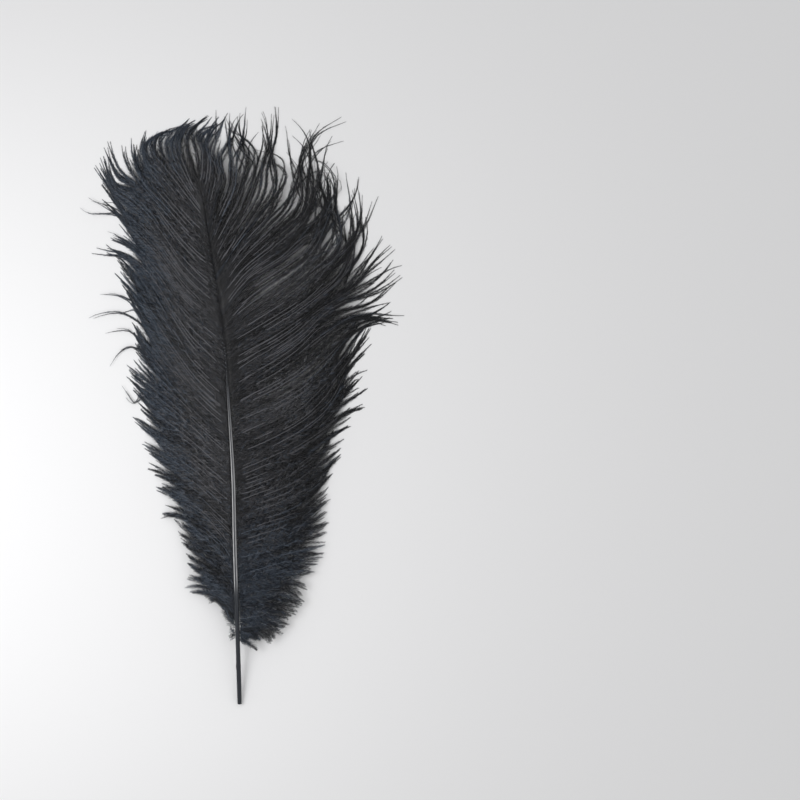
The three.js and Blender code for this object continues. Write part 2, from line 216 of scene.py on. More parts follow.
@dataclass(frozen=True)
class Habit:
    """How the barbs lie at one place round the plume."""

    place: float  # counted in leading barbs
    lock: float  # barbs in a lock
    clump: float  # how far they close up at their tips, 0 to 1
    parts: float  # share of the barb from which the locks part
    wave: float  # how far a lock strays sideways, mm
    ragged: float  # spread of the barbs' lengths, as a share
    curl: float  # turn of the tips in degrees, positive to the left of their way
    curl_spread: float  # how much that differs, in degrees
    barbule: float  # length of a barbule, mm
    spread: float  # angle between a barb and its barbules, degrees
    taper: float  # how much shorter the barbules are at the tip, as a share
    rib: float  # radius of a barb's rib at the shaft, mm
    reach: float = 1.0  # mean length of the barbs, as a share of the leading barbs


HABITS = (
    Habit(0, 4, 0.35, 0.65, 0.4, 0.06, -4, 16, 5.2, 42, 0.4, 0.2),
    Habit(1, 6, 0.45, 0.6, 0.4, 0.08, 36, 20, 5.0, 38, 0.4, 0.2, 1.14),
    Habit(1.8, 5, 0.5, 0.6, 0.4, 0.08, 0, 16, 5.0, 38, 0.4, 0.2, 0.98),
    Habit(6, 4.5, 0.5, 0.62, 0.7, 0.08, -6, 20, 4.8, 34, 0.6, 0.22),
    Habit(7.5, 3.5, 0.25, 0.8, 0.8, 0.05, 0, 8, 4.8, 34, 0.45, 0.24, 1.02),
    Habit(9.4, 6, 0.6, 0.66, 0.9, 0.05, 0, 12, 4.6, 34, 0.45, 0.26, 1.02),
    Habit(10.4, 7, 0.85, 0.6, 0.9, 0.05, 0, 10, 4.4, 34, 0.6, 0.27),
    Habit(11.3, 5, 0.4, 0.74, 0.8, 0.04, -2, 8, 4.4, 34, 0.45, 0.27, 1.03),
    Habit(12.4, 8, 0.85, 0.62, 1.0, 0.05, -12, 12, 4.0, 34, 0.65, 0.28),
    Habit(14, 6, 0.9, 0.72, 1.0, 0.06, -24, 20, 4.0, 34, 0.6, 0.3),
    Habit(18, 5, 0.85, 0.78, 0.8, 0.06, -32, 20, 4.0, 33, 0.6, 0.3),
    Habit(21, 4.5, 0.95, 0.58, 3.4, 0.06, -20, 26, 3.2, 28, 0.7, 0.32),
    Habit(26, 4.5, 0.96, 0.5, 5.2, 0.09, 2, 46, 3.1, 26, 0.68, 0.34),
    Habit(30, 5, 0.92, 0.58, 4.0, 0.05, 18, 34, 3.6, 30, 0.62, 0.31),
    Habit(34, 6, 0.75, 0.6, 1.8, 0.06, 10, 18, 4.2, 36, 0.5, 0.28),
    Habit(38, 4.5, 0.4, 0.68, 0.6, 0.06, 6, 16, 4.8, 38, 0.45, 0.22),
    Habit(44, 4, 0.3, 0.7, 0.4, 0.05, -6, 16, 5.0, 44, 0.35, 0.2),
)


@dataclass(frozen=True)
class DownSide:
    """The down on one side of the quill."""

    toward: int  # 1 to the right, -1 to the left
    place: float  # whose habits it takes, in leading barbs
    reach: tuple  # least and most length, mm
    rise: tuple  # least and most angle from level, radians


# The down at the base of the vane: how many barbs, one in how many of them on the left, the y that they
# grow at, how far they bend in radians, how steeply they fall, the shares of their length that they are
# drawn through, and the length of their barbules as a share.
DOWN_SIDES = (DownSide(1, 44.0, (6, 17), (-0.35, 0.5)), DownSide(-1, 0.0, (3, 6), (0.3, 1.1)))
DOWN_BARBS = 44
DOWN_LEFT_EVERY = 6
DOWN_Y = (-149, -142)
DOWN_BEND = (-0.3, 0.3)
DOWN_FALL = 0.25
DOWN_STEPS = (0.35, 0.7, 1.0)
DOWN_FINE = 0.7


def habit(name: str, places: Array) -> Array:
    """Reads one number of the habits at each place.

    Args:
        name: The name of a field of Habit.
        places: The places, counted in leading barbs.

    Returns:
        The number at each place, blended between the habits on either side.
    """
    return np.interp(places, [row.place for row in HABITS], [getattr(row, name) for row in HABITS])


def smoothstep(low: float, high: float, value: Array) -> Array:
    """Rises smoothly from 0 at low to 1 at high."""
    share = np.clip((value - low) / (high - low), 0, 1)
    return share * share * (3 - 2 * share)


def normalised(vectors: Array) -> Array:
    """Scales vectors to length 1."""
    return vectors / np.maximum(np.linalg.norm(vectors, axis=-1, keepdims=True), LEAST_LENGTH)


def directions(lines: Array) -> tuple:
    """Finds the directions at every point of one line or more.

    Args:
        lines: The points, with those of a line one after another on the last axis but one.

    Returns:
        The directions along the line, level across it to the left, and up from it.
    """
    along = normalised(np.gradient(lines, axis=-2))
    side = normalised(np.cross(UPWARD, along))
    return along, side, np.cross(along, side)


def smooth_path(points: list, count: int) -> Array:
    """Runs a centripetal Catmull-Rom curve through points.

    Args:
        points: The points to pass, each with two or three numbers.
        count: How many points to return.

    Returns:
        Points at equal distances along the curve, one per row.
    """
    way = np.array(points, dtype=float)
    way = np.vstack([2 * way[0] - way[1], way, 2 * way[-1] - way[-2]])
    fine = np.linspace(0, 1, CURVE_STEPS)[:, None]
    pieces = []
    for a, b, c, d in zip(way, way[1:], way[2:], way[3:]):
        t1 = np.linalg.norm(b - a) ** 0.5
        t2 = t1 + np.linalg.norm(c - b) ** 0.5
        t3 = t2 + np.linalg.norm(d - c) ** 0.5
        t = t1 + (t2 - t1) * fine
        ab = (t1 - t) / t1 * a + t / t1 * b
        bc = (t2 - t) / (t2 - t1) * b + (t - t1) / (t2 - t1) * c
        cd = (t3 - t) / (t3 - t2) * c + (t - t2) / (t3 - t2) * d
        abc = (t2 - t) / t2 * ab + t / t2 * bc
        bcd = (t3 - t) / (t3 - t1) * bc + (t - t1) / (t3 - t1) * cd
        pieces.append(((t2 - t) * abc + (t - t1) * bcd) / (t2 - t1))
    line = np.vstack([pieces[0][:1]] + [piece[1:] for piece in pieces])
    reach = np.concatenate([[0], np.cumsum(np.linalg.norm(np.diff(line, axis=0), axis=1))])
    wanted = np.linspace(0, reach[-1], count)
    return np.stack([np.interp(wanted, reach, line[:, k]) for k in range(line.shape[1])], axis=1)


def blue_chance(amounts: tuple, left: Array, share: Array, root_y: Array) -> Array:
    """Tells how likely the dye is blue-black.

    Args:
        amounts: A row such as BARBULE_COOL.
        left: How far on the left it is, from 0 to 1.
        share: How far along the barb it is.
        root_y: The y at the shaft.

    Returns:
        The chance, which may pass 1.
    """
    anywhere, outside, on_left, low_down = amounts
    chance = anywhere + (outside + on_left * left) * smoothstep(*OUTSIDE, share)
    return chance + low_down * (1 - smoothstep(*COOL_BELOW_Y, root_y))


def tube_quads(tubes: int, rings: int, sides: int) -> Array:
    """Numbers the corners of the side faces of tubes whose points run ring by ring, and tube by tube.

    Args:
        tubes: How many tubes there are.
        rings: How many rings each has.
        sides: How many corners each ring has.

    Returns:
        The corners' numbers: tube, stretch between two rings, side, corner.
    """
    base = (np.arange(tubes) * rings * sides)[:, None, None]
    row = base + (np.arange(rings - 1) * sides)[None, :, None]
    here = row + np.arange(sides)
    after = row + np.roll(np.arange(sides), -1)
    return np.stack([here, here + sides, after + sides, after], axis=-1)


def linear(code: str) -> tuple:
    """Turns an sRGB hex colour into linear red, green, blue and full alpha, by the standard's own numbers.

    Args:
        code: Six hex digits.

    Returns:
        The four numbers that a colour socket takes.
    """
    parts = [int(code[k:k + 2], 16) / 255 for k in (0, 2, 4)]
    return tuple(c / 12.92 if c <= 0.04045 else ((c + 0.055) / 1.055) ** 2.4 for c in parts) + (1.0,)


def add_node(tree: bpy.types.NodeTree, kind: str, settings: dict, links: dict) -> bpy.types.Node:
    """Adds a node with its settings and the links into it.

    Args:
        tree: The node tree of a material or world.
        kind: The node's type name.
        settings: Values by the name of a property, or by the name or number of an input socket.
        links: Output sockets by the name or number of the input socket that each goes to.

    Returns:
        The new node.
    """
    node = tree.nodes.new(kind)
    for name, value in settings.items():
        if isinstance(name, str) and hasattr(node, name):
            setattr(node, name, value)
        else:
            node.inputs[name].default_value = value
    for name, output in links.items():
        tree.links.new(output, node.inputs[name])
    return node


def new_material(name: str) -> bpy.types.Material:
    """Makes a material.

    Args:
        name: Its name.

    Returns:
        The material, with an empty node tree.
    """
    material = bpy.data.materials.new(name)
    material.use_nodes = True
    material.node_tree.nodes.clear()
    return material


@dataclass(frozen=True)
class PlainFinish:
    """A finish that is the same all over."""

    name: str  # the material and how it was made
    colour: str  # sRGB
    roughness: float
    ior: float = 1.55  # that of keratin
    specular: float = 0.5  # 0.5 leaves the reflections as they are

    def build(self) -> bpy.types.Material:
        """Makes the material.

        Returns:
            The material, with its values on the shader's own sockets.
        """
        material = new_material(self.name)
        settings = {
            "Base Color": linear(self.colour),
            "Roughness": self.roughness,
            "IOR": self.ior,
            "Specular IOR Level": self.specular,
        }
        shader = add_node(material.node_tree, "ShaderNodeBsdfPrincipled", settings, {})
        links = {"Surface": shader.outputs["BSDF"]}
        add_node(material.node_tree, "ShaderNodeOutputMaterial", {}, links)
        return material


# Keratin of the barbules, steeped in black dye. It took unevenly: plain black inside the vane, blue-black
# towards the tips, three depths of each. Fine barbules scatter the little light that is left and look dull.
# The three depths also carry painted light and shade: paler on the left and on the leading barbs, darker
# outside on the right and on the under layer.
BARBULE_DYES = (
    PlainFinish("keratin_dyed_black_deep_and_painted_shade", "0b0b0d", 0.62),
    PlainFinish("keratin_dyed_black", "28282b", 0.58),
    PlainFinish("keratin_dyed_black_thin_and_painted_light", "444448", 0.54),
    PlainFinish("keratin_dyed_blue_black_deep_and_painted_shade", "070b12", 0.62),
    PlainFinish("keratin_dyed_blue_black", "202834", 0.58),
    PlainFinish("keratin_dyed_blue_black_thin_and_painted_light", "3a4451", 0.54),
)
BARBULE_DEPTHS = 3

# The ribs of the barbs are solid and smooth, so they are glossier. Their pale copies are painted highlight,
# laid in patches to stand for the fine pale lines where the ribs catch the light.
RIB_DYES = (
    PlainFinish("keratin_rib_black", "202023", 0.45),
    PlainFinish("keratin_rib_black_painted_highlight", "717176", 0.4),
    PlainFinish("keratin_rib_blue_black", "1b222d", 0.45),
    PlainFinish("keratin_rib_blue_black_painted_highlight", "67707d", 0.4),
)
RIB_DEPTHS = 2

# Uncoated white paper: matt, and from this far off without any grain.
PAPER = PlainFinish("paper_white_matt", "f4f4f5", 0.9, ior=1.5, specular=0.2)


@dataclass(frozen=True)
class DyedHorn:
    """Horn of shaft and quill under black dye: hard and polished, with a pale painted highlight along the
    shaft's two ribs.
    """

    name: str = "horn_shaft_dyed"
    dyed: str = "0c141f"  # where the dye is whole
    painted_highlight: str = "f6f6f6"  # pale painted highlight on the two ribs, where the polished horn reflects the light above
    roughness: float = 0.34  # polished
    ior: float = 1.54
    streak_mm: float = 0.35  # width of the fine streaks that break up the painted highlight
    streak_length_mm: float = 14.0  # their length
    streak_detail: float = 3.0  # finer layers of noise in them
    # Noise where a streak is dark and pale, and the share of painted highlight left there.
    streak_range: tuple = (0.25, 0.65, 0.45, 1.0)

    def build(self) -> bpy.types.Material:
        """Makes the material.

        Returns:
            A material that reads the share of painted highlight from the mesh, and breaks it into fine
            streaks.
        """
        material = new_material(self.name)
        tree = material.node_tree
        across = 1 / (self.streak_mm * MM)
        scale = {"Scale": (across, 1 / (self.streak_length_mm * MM), across)}
        place = add_node(tree, "ShaderNodeTexCoord", {}, {})
        stretched = add_node(tree, "ShaderNodeMapping", scale, {"Vector": place.outputs["Object"]})
        noise = {"Scale": 1.0, "Detail": self.streak_detail}
        streaks = add_node(tree, "ShaderNodeTexNoise", noise, {"Vector": stretched.outputs["Vector"]})
        limits = dict(zip(("From Min", "From Max", "To Min", "To Max"), self.streak_range))
        broken = add_node(tree, "ShaderNodeMapRange", limits, {"Value": streaks.outputs["Fac"]})
        shine = add_node(tree, "ShaderNodeAttribute", {"attribute_name": "painted_highlight"}, {})
        both = {0: shine.outputs["Fac"], 1: broken.outputs["Result"]}
        share = add_node(tree, "ShaderNodeMath", {"operation": "MULTIPLY"}, both)
        ramp = add_node(tree, "ShaderNodeValToRGB", {}, {"Fac": share.outputs[0]})
        ramp.color_ramp.elements[0].color = linear(self.dyed)
        ramp.color_ramp.elements[1].color = linear(self.painted_highlight)
        gloss = {"Roughness": self.roughness, "IOR": self.ior}
        shader = add_node(tree, "ShaderNodeBsdfPrincipled", gloss, {"Base Color": ramp.outputs["Color"]})
        add_node(tree, "ShaderNodeOutputMaterial", {}, {"Surface": shader.outputs["BSDF"]})
        return material


@dataclass
class MeshParts:
    """Corners and faces of one mesh, gathered before Blender gets them."""

    points: Array  # corners in millimetres, one per row
    loops: Array  # the corner of every face's every edge, face after face
    sizes: Array  # how many edges each face has
    tones: Array  # the number of each face's material

    def build(self, name: str, materials: list, smooth: bool) -> bpy.types.Object:
        """Makes the Blender object.

        Args:
            name: The piece's name.
            materials: The materials that the tones count through.
            smooth: Whether the faces are shaded as one smooth skin.

        Returns:
            The object, in metres, linked to the scene.
        """
        mesh = bpy.data.meshes.new(name)
        mesh.vertices.add(len(self.points))
        mesh.vertices.foreach_set("co", (self.points * MM).astype(np.float32).ravel())
        mesh.loops.add(len(self.loops))
        mesh.loops.foreach_set("vertex_index", self.loops.astype(np.int32))
        mesh.polygons.add(len(self.sizes))
        starts = np.concatenate([[0], np.cumsum(self.sizes)[:-1]])
        mesh.polygons.foreach_set("loop_start", starts.astype(np.int32))
        mesh.polygons.foreach_set("material_index", self.tones.astype(np.int32))
        mesh.polygons.foreach_set("use_smooth", np.full(len(self.sizes), smooth))
        for material in materials:
            mesh.materials.append(material)
        mesh.update(calc_edges=True)
        mesh.validate()
        piece = bpy.data.objects.new(name, mesh)
        bpy.context.scene.collection.objects.link(piece)
        return piece


def place_piece(piece: bpy.types.Object, slot: str) -> None:
    """Sets a piece on the plume's body in place of the solid, and logs it with its finish's slot.

    Args:
        piece: The finished piece.
        slot: The material slot of the record.
    """
    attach(piece, BODY)
    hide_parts(NODE)
    size = tuple(round(side / MM, 1) for side in piece.dimensions)
    triangles = sum(len(face.vertices) - 2 for face in piece.data.polygons)
    LOG.info("%s: %d triangles, %s mm, slot %s", piece.name, triangles, size, slot)


@dataclass
class ShaftLine:
    """The middle line of the shaft."""

    samples: int = 400  # points that stand for it
    points: Array = field(init=False)

    def __post_init__(self) -> None:
        """Runs the line through the shaft's table."""
        self.points = smooth_path([(x + QUILL_X, y, z) for x, y, z, _ in SHAFT], self.samples)

    def at(self, y: Array) -> Array:
        """Gives the points of the line at each y."""
        return np.stack([np.interp(y, self.points[:, 1], self.points[:, k]) for k in range(3)], axis=-1)

    def half_width(self, y: Array) -> Array:
        """Gives the shaft's half width at each y."""
        return np.interp(y, [row[1] for row in SHAFT], [row[3] for row in SHAFT])


@dataclass
class Shaft:
    """Shaft and quill: a horn rod, nearly round, grooved above between two ribs, open at its cut end."""

    line: ShaftLine
    rings: int = 240  # sections along it
    sides: int = 28  # corners of a section
    flattening: float = 0.92  # height as a share of the width
    groove_depth: float = 0.3  # share of the half width
    groove_angle: float = 0.26  # half its opening, radians
    groove_y: tuple = (-140, -122, -10, 60)  # where it begins, is full, is still full and ends
    shine_y: tuple = (-121, -108, -45, 22)  # the same for the pale painted highlight on the ribs
    rib_angle: float = 0.62  # from the top to each rib with painted highlight, radians
    rib_shine: tuple = (1.0, 0.6)  # painted highlight, left and right, 0 to 1: stronger on the left, nearer the light
    rib_reach: tuple = (0.17, 0.22)  # how far the painted highlight spreads, left and right, radians
    knob: tuple = (-165.6, 0.3, 1.6, 0.4)  # on the quill: y, height, half length, lean to the left
    hollow: tuple = (4.0, 0.62)  # of the cut end: depth in mm, share of the half width
    sunk_y: tuple = (0, 40)  # where it starts to sink between the barbs, and has sunk
    sunk: float = 0.7  # how deep, mm

    @staticmethod
    def between(limits: tuple, y: Array) -> Array:
        """Rises from 0 to 1 between the first two limits, and falls again between the last two."""
        return smoothstep(limits[0], limits[1], y) * (1 - smoothstep(limits[2], limits[3], y))

    def section(self, y: Array, angle: Array) -> Array:
        """Shapes the skin: grooved above, and with a small knob low on the quill.

        Args:
            y: The y of each section, one per row.
            angle: The angles from the top, positive to the left.

        Returns:
            The radius at each y and angle, in millimetres.
        """
        groove = self.groove_depth * self.between(self.groove_y, y)
        dip = groove * np.exp(-((angle / self.groove_angle) ** 2))
        knob_y, height, reach, lean = self.knob
        bump = height * np.exp(-(((y - knob_y) / reach) ** 2)) * (1 - lean + lean * np.sin(angle))
        return self.line.half_width(y) * (1 - dip) + bump

    def shine(self, y: Array, angle: Array) -> Array:
        """Tells how strong the pale painted highlight is on the ribs on both sides of the groove.

        Args:
            y: The y of each section, one per row.
            angle: The angles from the top, positive to the left.

        Returns:
            The share of painted highlight at each y and angle, from 0 to 1.
        """
        band = 0.0
        for shine, reach, middle in zip(self.rib_shine, self.rib_reach, (self.rib_angle, -self.rib_angle)):
            band = band + shine * np.exp(-(((angle - middle) / reach) ** 2))
        return np.clip(band * self.between(self.shine_y, y), 0, 1)

    def build(self, material: bpy.types.Material) -> bpy.types.Object:
        """Makes the rod.

        Args:
            material: The dyed horn.

        Returns:
            The piece.
        """
        path = self.line.at(np.linspace(SHAFT[0][1], SHAFT[-1][1], self.rings))
        path[:, 2] -= self.sunk * smoothstep(*self.sunk_y, path[:, 1])
        tangent, side, up = directions(path)
        angle = np.linspace(-math.pi, math.pi, self.sides, endpoint=False)
        y = path[:, 1:2]
        radius = self.section(y, angle[None, :])
        across = (radius * np.sin(angle))[..., None] * side[:, None, :]
        rise = (radius * self.flattening * np.cos(angle))[..., None] * up[:, None, :]
        skin = path[:, None, :] + across + rise
        depth, share = self.hollow
        rim = path[0] + share * (skin[0] - path[0])
        floor = rim + tangent[0] * depth
        rows = np.concatenate([floor[None], rim[None], skin])
        points = np.vstack([rows.reshape(-1, 3), floor.mean(axis=0), skin[-1].mean(axis=0)])
        hub = len(rows) * self.sides
        here = np.arange(self.sides)
        after = np.roll(here, -1)
        last = hub - self.sides
        start_fan = np.stack([np.full(self.sides, hub), here, after], axis=-1)
        end_fan = np.stack([np.full(self.sides, hub + 1), last + after, last + here], axis=-1)
        quads = tube_quads(1, len(rows), self.sides)
        loops = np.concatenate([quads.ravel(), start_fan.ravel(), end_fan.ravel()])
        sizes = np.repeat([4, 3], [quads.size // 4, 2 * self.sides])
        parts = MeshParts(points, loops, sizes, np.zeros(len(sizes), int))
        piece = parts.build("shaft_and_quill", [material], True)
        # The share of pale painted highlight on the ribs, which the horn's material reads.
        painted_highlight = np.zeros(len(points), np.float32)
        painted_highlight[2 * self.sides:hub] = self.shine(y, angle[None, :]).ravel()
        piece.data.attributes.new("painted_highlight", "FLOAT", "POINT").data.foreach_set("value", painted_highlight)
        return piece


@dataclass
class Guides:
    """The leading barbs as smooth paths over the sheet, and every barb that can lie between them."""

    line: ShaftLine
    samples: int = 65  # points of a path
    droops_to: float = 1.1  # share of a barb past which it droops no more
    paths: Array = field(init=False)
    root_y: Array = field(init=False)

    def __post_init__(self) -> None:
        """Runs a path along every leading barb."""
        self.root_y = np.array([row[0] for row in BARBS], float)
        paths = []
        for row in BARBS:
            root = self.line.at(np.array(float(row[0])))[:2]
            way = [(x + QUILL_X, y) for x, y in zip(row[1::2], row[2::2])]
            paths.append(smooth_path([tuple(root)] + way, self.samples))
        self.paths = np.array(paths)

    def blend(self, places: Array) -> tuple:
        """Weighs the four leading barbs round each place, as a Catmull-Rom curve does.

        Args:
            places: The places, counted in leading barbs.

        Returns:
            The numbers of the four barbs and their weights, each with one more axis at the end.
        """
        last = len(BARBS) - 1
        inside = np.clip(places, 0, last)
        first = np.minimum(inside.astype(int), last - 1)
        t = inside - first
        rows = np.clip(np.stack([first - 1, first, first + 1, first + 2], axis=-1), 0, last)
        before = (-t + 2 * t**2 - t**3) / 2
        lower = (2 - 5 * t**2 + 3 * t**3) / 2
        upper = (t + 4 * t**2 - 3 * t**3) / 2
        beyond = (-(t**2) + t**3) / 2
        return rows, np.stack([before, lower, upper, beyond], axis=-1)

    def at(self, places: Array, shares: Array) -> Array:
        """Gives points of the barbs, drooping from the shaft towards the sheet.

        Args:
            places: Where the barb leaves the shaft, counted in leading barbs.
            shares: How far along the barb, past 1 beyond the leading barbs' tips.

        Returns:
            Points in millimetres, with one more axis at the end.
        """
        places, shares = np.broadcast_arrays(places, shares)
        rows, weights = self.blend(places)
        inside = np.clip(shares, 0, 1) * (self.samples - 1)
        lower = np.minimum(inside.astype(int), self.samples - 2)
        part = (inside - lower)[..., None, None]
        near = self.paths[rows, lower[..., None]] * (1 - part)
        near = near + self.paths[rows, lower[..., None] + 1] * part
        step = (self.paths[rows, -1] - self.paths[rows, -2]) * (self.samples - 1)
        near = near + step * np.maximum(shares - 1, 0)[..., None, None]
        flat = (near * weights[..., None]).sum(axis=-2)
        root_y = np.interp(places, np.arange(len(BARBS)), self.root_y)
        root_z = self.line.at(root_y)[..., 2]
        tip_z = np.interp(root_y, [LIFTED_BELOW_Y, RESTS_ABOVE_Y], [LIFTED_TIP, RESTING_TIP])
        height = root_z + (tip_z - root_z) * np.clip(shares, 0, self.droops_to) ** DROOP_POWER
        return np.concatenate([flat, height[..., None]], axis=-1)


@dataclass(frozen=True)
class Sway:
    """How bundles of barbs wave from side to side."""

    turns: tuple  # waves in a barb: least, more per mm of the habit's wave, most on top
    own_phase: float  # most that a barb runs ahead of its bundle, in waves
    size: tuple  # mm, and mm per mm of the habit's wave
    least: float  # least size drawn, as a share
    sets_in: tuple  # shares of the barb between which the waves set in


LOCK_SWAY = Sway((0.8, 0.22, 0.9), 0, (0, 1), 0.35, (0.35, 0.85))
PAIR_SWAY = Sway((0.8, 0.1, 1.4), 0.12, (0.15, 0.3), 0.3, (0.35, 0.95))


@dataclass
class Barbs:
    """Every barb of the vane as a line in space. A share is 0 at the shaft and 1 at the tip."""

    guides: Guides
    count: int = 660  # seen from above, strays not counted
    under_count: int = 170  # more under them, to fill the gaps
    samples: int = 30  # points of a barb
    seed: int = 11  # of every random choice
    clearance: float = 0.35  # least height above the sheet, mm
    # Shares at which the spacing is evened, with their weights.
    room: tuple = ((0.0, 0.25), (0.55, 0.3), (0.85, 0.25), (1.0, 0.2))
    room_steps: int = 900  # places tried for that
    jitter: float = 0.35  # most that a barb is off its even place, in spaces
    pair: float = 2.6  # mean number of barbs in a pair or triple
    bundle: tuple = (0.35, 1.75)  # least and most size of a bundle, as shares of the mean
    leading: float = 0.4  # share of the barbs that lead a pair or triple
    leader_painted_light: float = 0.25  # painted light: how much paler those are, as they stand above the others
    ridge: float = 0.8  # how far they stand above the others, mm
    length_draw: tuple = (0.9, -2, 0.7)  # spread, least and most, before the habit scales it
    closed: tuple = (0.02, 0.2, 0.75)  # shares over which a pair closes up, and how far
    opened: tuple = (0.5, 0.95, 0.7)  # shares over which it parts again, and how far
    parts_draw: float = 0.25  # how much locks differ in where they part
    tight_draw: tuple = (0.92, 0.1)  # least share of the habit's clump, and most on top
    gathers_over: float = 0.42  # share of a barb over which its lock closes up
    lift_draw: tuple = (1.0, 0.2)  # how much height differs between locks and barbs, mm
    seated: tuple = (0.5, 0.15)  # height on the shaft in half widths, and the share over which it fades
    curls_from: float = 0.62  # share at which the tips begin to curl
    curl_power: float = 1.3  # how suddenly they do
    curl_shares: tuple = (2, 1.1)  # how much of the curl's spread locks and pairs take
    # Chance that a barb turns by itself, how far it does, and the others.
    loose: tuple = (0.06, 1.1, 0.08)
    rng: np.random.Generator = field(init=False)
    shares: Array = field(init=False)
    places: Array = field(init=False)
    pairs: Array = field(init=False)
    locks: Array = field(init=False)
    shade: Array = field(init=False)
    lines: Array = field(init=False)
    fine: Array = field(init=False)

    def __post_init__(self) -> None:
        """Lays out the vane, then adds what lies under it, the strays and the down at its base."""
        self.rng = np.random.default_rng(self.seed)
        self.shares = np.linspace(0, 1, self.samples)
        self.places = self.spread_places(self.count)
        self.pairs = self.group(np.full(self.count, self.pair))
        leads = np.concatenate([[False], self.pairs[1:] != self.pairs[:-1]]) - self.leading
        # Painted light: the leading barbs, which stand higher, are made paler, and the others darker.
        self.shade = self.leader_painted_light * leads
        self.locks = self.group(habit("lock", self.places))
        self.lines = self.lay(self.ridge * leads)
        self.fine = np.ones(self.count)
        self.add_under_layer()
        self.add_strays()
        self.add_down()
        self.lines[..., 2] = np.maximum(self.lines[..., 2], self.clearance)

    def spread_places(self, count: int) -> Array:
        """Spaces barbs evenly round the plume, partly by their roots and partly by the room further out.

        Args:
            count: How many barbs.

        Returns:
            Their places, counted in leading barbs.
        """
        steps = np.linspace(0, len(BARBS) - 1, self.room_steps)
        total = np.zeros(len(steps))
        for share, weight in self.room:
            points = self.guides.at(steps, np.full(len(steps), share))
            gaps = np.linalg.norm(np.diff(points, axis=0), axis=1)
            total[1:] += weight * np.cumsum(gaps) / gaps.sum()
        jitter = self.rng.uniform(-self.jitter, self.jitter, count)
        wanted = (np.arange(count) + 0.5 + jitter) / count
        return np.interp(wanted, total, steps)

    def group(self, sizes: Array) -> Array:
        """Bundles neighbouring barbs.

        Args:
            sizes: The mean size of a bundle at each barb.

        Returns:
            The number of each barb's bundle.
        """
        numbers = np.zeros(self.count, int)
        number = 0
        k = 0
        while k < self.count:
            size = max(1, round(sizes[k] * self.rng.uniform(*self.bundle)))
            numbers[k:k + size] = number
            number += 1
            k += size
        return numbers

    def centres(self, numbers: Array) -> Array:
        """Gives each barb the mean place of its bundle."""
        return (np.bincount(numbers, self.places) / np.bincount(numbers))[numbers]

    def per_bundle(self, numbers: Array) -> Array:
        """Draws one number from 0 to 1 for each bundle and hands it to its barbs."""
        return self.rng.uniform(0, 1, numbers.max() + 1)[numbers]

    def off_middle(self, numbers: Array) -> Array:
        """Draws one number from -0.5 to 0.5 for each bundle and hands it to its barbs."""
        return self.per_bundle(numbers) - 0.5

    def lay(self, ridge: Array) -> Array:
        """Lays every barb from the shaft to its tip.

        Args:
            ridge: How far each barb stands above the others of its pair or triple, in millimetres.

        Returns:
            The lines: barb, sample, x y z.
        """
        places = self.places[:, None]
        s = self.shares[None, :]
        ragged = habit("ragged", self.places)
        spread, least, most = self.length_draw
        own = np.clip(self.rng.normal(0, spread, self.count), least, most)
        length = habit("reach", self.places) + ragged * own + ragged * self.off_middle(self.locks)
        close = self.closed[2] * smoothstep(*self.closed[:2], s)
        close = close * (1 - self.opened[2] * smoothstep(*self.opened[:2], s))
        starts = (habit("parts", self.places) + self.parts_draw * self.off_middle(self.locks))[:, None]
        least, most = self.tight_draw
        tight = (habit("clump", self.places) * (least + most * self.per_bundle(self.locks)))[:, None]
        gather = tight * smoothstep(0, self.gathers_over, s - starts)
        where = places + close * (self.centres(self.pairs)[:, None] - places)
        where = where + gather * (self.centres(self.locks)[:, None] - where)
        lines = self.guides.at(where, s * length[:, None])
        _, side, _ = directions(lines)
        swing = self.swing(self.locks, LOCK_SWAY) + self.swing(self.pairs, PAIR_SWAY)
        lines = self.curled(lines + side * swing[..., None])
        of_lock, of_barb = self.lift_draw
        lift = of_lock * self.off_middle(self.locks) + self.rng.normal(0, of_barb, self.count) + ridge
        lines[..., 2] += lift[:, None] * smoothstep(*self.closed[:2], s)
        height, over = self.seated
        seat = height * self.guides.line.half_width(lines[:, :1, 1])
        lines[..., 2] += seat * (1 - smoothstep(0, over, s))
        return lines

    def swing(self, numbers: Array, sway: Sway) -> Array:
        """Gives how far each barb strays sideways in the waves of its bundle.

        Args:
            numbers: The number of each barb's bundle.
            sway: How such bundles wave.

        Returns:
            Distances in millimetres, positive to the left: barb, sample.
        """
        wave = habit("wave", self.places)
        least, more, most = sway.turns
        turns = least + more * wave + most * self.per_bundle(numbers)
        phase = self.per_bundle(numbers)
        if sway.own_phase:
            phase = phase + self.rng.uniform(0, sway.own_phase, self.count)
        drawn = sway.least + (1 - sway.least) * self.per_bundle(numbers)
        size = (sway.size[0] + sway.size[1] * wave) * drawn
        waves = np.sin(2 * math.pi * (turns[:, None] * self.shares + phase[:, None]))
        return size[:, None] * waves * smoothstep(*sway.sets_in, self.shares)

